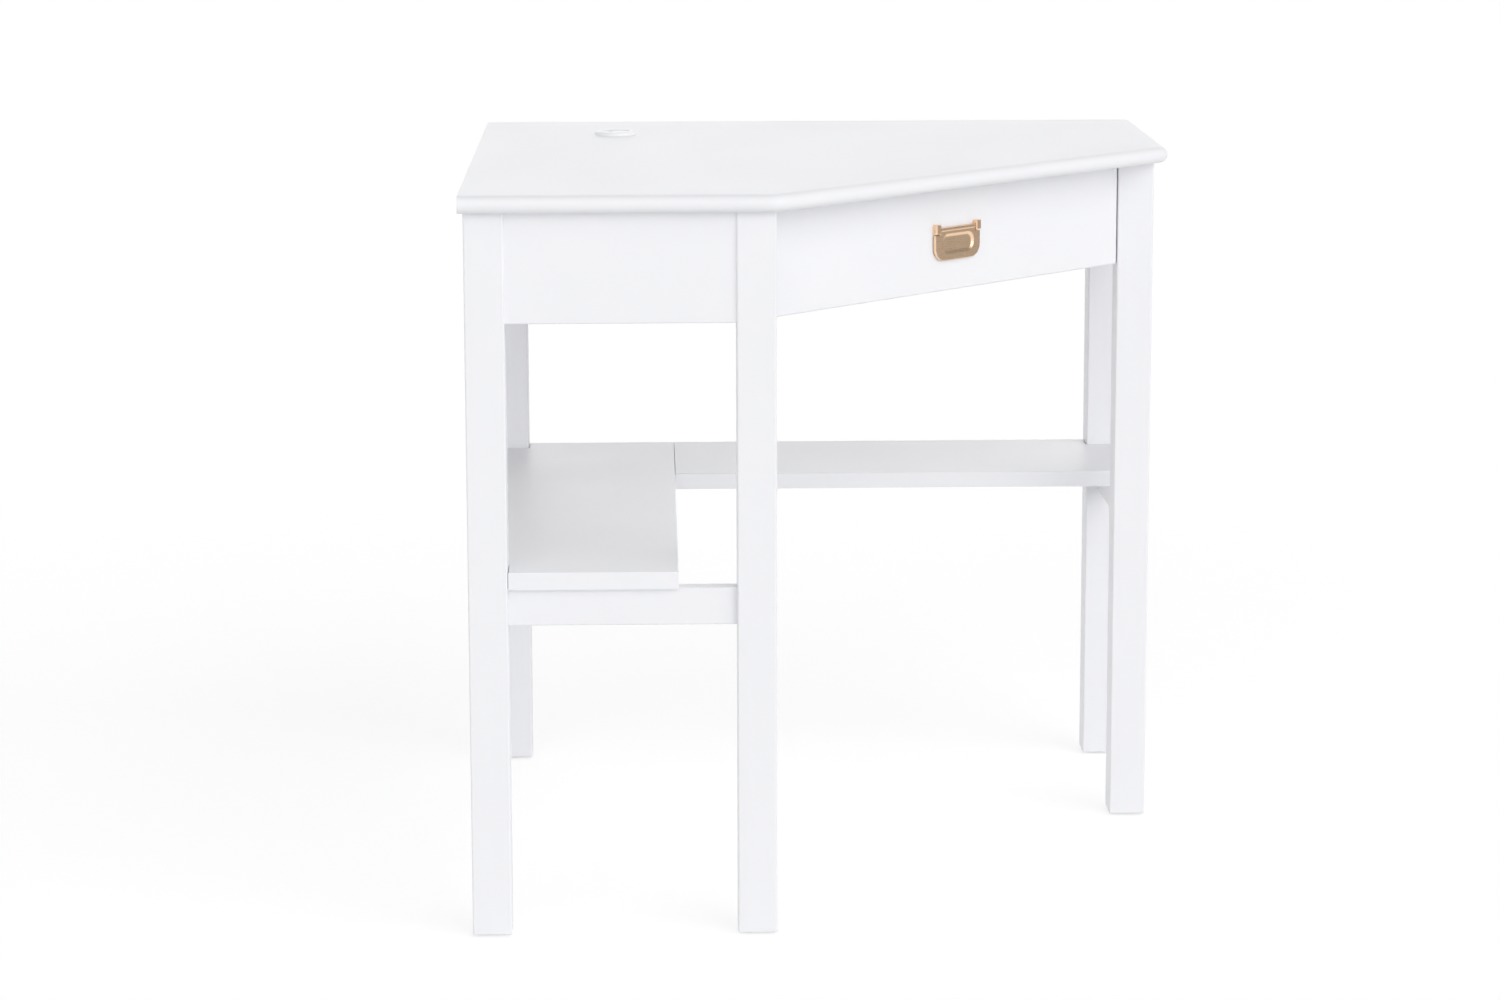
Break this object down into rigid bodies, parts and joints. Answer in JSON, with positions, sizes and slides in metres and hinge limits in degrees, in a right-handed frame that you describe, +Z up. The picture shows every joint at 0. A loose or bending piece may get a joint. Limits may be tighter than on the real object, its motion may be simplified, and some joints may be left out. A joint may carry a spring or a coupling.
{
  "type": "corner desk",
  "caption": "White painted corner desk: corner-cut top with rounded nose and cable grommet, square legs, L-shaped lower shelf, and a drawer on telescopic slides with a brass drop pull.",
  "frame": {"origin": "on the floor, under the middle of the desk's box", "axes": "+X along the drawer front to the sitter's right, +Y from the drawer front to the room corner, +Z up"},
  "size_m": [1.0776, 0.7636, 0.766],
  "materials": {
    "white_paint": "satin white paint on board and solid wood",
    "white_board": "white board, unseen inside the desk",
    "drawer_board": "matt white foil on board",
    "zinc_steel": "bright zinc plate",
    "screw_steel": "zinc plate",
    "cam_zinc": "die-cast zinc",
    "beech": "plain beech",
    "pull_brass": "satin champagne brass",
    "white_plastic": "moulded, satin gloss",
    "nylon": "moulded nylon"
  },
  "bodies": {
    "desk": {"table_top": "white_paint", "leg_corner": "white_paint", "shelf_left": "white_paint", "shelf_right": "white_paint", "leg_left_wall": "white_paint", "leg_left_front": "white_paint", "apron_left_wall": "white_paint", "apron_left_end": "white_paint", "stretcher_left": "white_paint", "front_filler_left": "white_paint", "leg_right_wall": "white_paint", "leg_right_front": "white_paint", "apron_right_wall": "white_paint", "apron_right_end": "white_paint", "stretcher_right": "white_paint", "front_filler_right": "white_paint", "front_rail": "white_board", "hanger_left": "white_board", "hanger_right": "white_board", "slide_outer_left": "zinc_steel", "slide_outer_right": "zinc_steel", "top_brackets": "zinc_steel", "shelf_brackets": "zinc_steel", "seam_plates": "zinc_steel", "top_bracket_screws": "screw_steel", "shelf_screws": "screw_steel", "rail_screws": "screw_steel", "hanger_slide_screws": "screw_steel", "cam_locks": "cam_zinc", "cam_bolts": "cam_zinc", "dowels": "beech", "grommet_liner": "white_plastic", "leg_glides": "nylon"},
    "drawer": {"drawer_front": "white_paint", "drawer_subfront": "drawer_board", "drawer_side_left": "drawer_board", "drawer_side_right": "drawer_board", "drawer_back": "drawer_board", "drawer_bottom": "drawer_board", "slide_inner_left": "zinc_steel", "slide_inner_right": "zinc_steel", "drawer_slide_screws": "screw_steel", "drawer_box_screws": "screw_steel", "drawer_front_screws": "screw_steel", "pull_screws": "screw_steel", "pull_lugs": "pull_brass", "pull_pin": "pull_brass"},
    "middle_member_left": {"slide_middle_left": "zinc_steel"},
    "middle_member_right": {"slide_middle_right": "zinc_steel"},
    "pull_flap": {"pull_flap": "pull_brass"},
    "grommet_cap": {"grommet_cap": "white_plastic"}
  },
  "joints": [
    {"name": "drawer_slide", "type": "slide", "parent": "desk", "child": "drawer", "axis": [0, -1, 0], "range_m": [0, 0.34]},
    {"name": "left_member_slide", "type": "slide", "parent": "desk", "child": "middle_member_left", "axis": [0, -1, 0], "range_m": [0, 0.17]},
    {"name": "right_member_slide", "type": "slide", "parent": "desk", "child": "middle_member_right", "axis": [0, -1, 0], "range_m": [0, 0.17]},
    {"name": "pull_swing", "type": "hinge", "parent": "drawer", "child": "pull_flap", "pos_m": [0, -0.34474, 0.6976], "axis": [-1, 0, 0], "range_deg": [0, 90]},
    {"name": "cap_turn", "type": "hinge", "parent": "desk", "child": "grommet_cap", "pos_m": [0, 0.16784, 0.762], "axis": [0, 0, 1], "continuous": true}
  ],
  "couplings": [
    {"joint": "left_member_slide", "follows": "drawer_slide", "ratio": 0.5},
    {"joint": "right_member_slide", "follows": "drawer_slide", "ratio": 0.5}
  ]
}
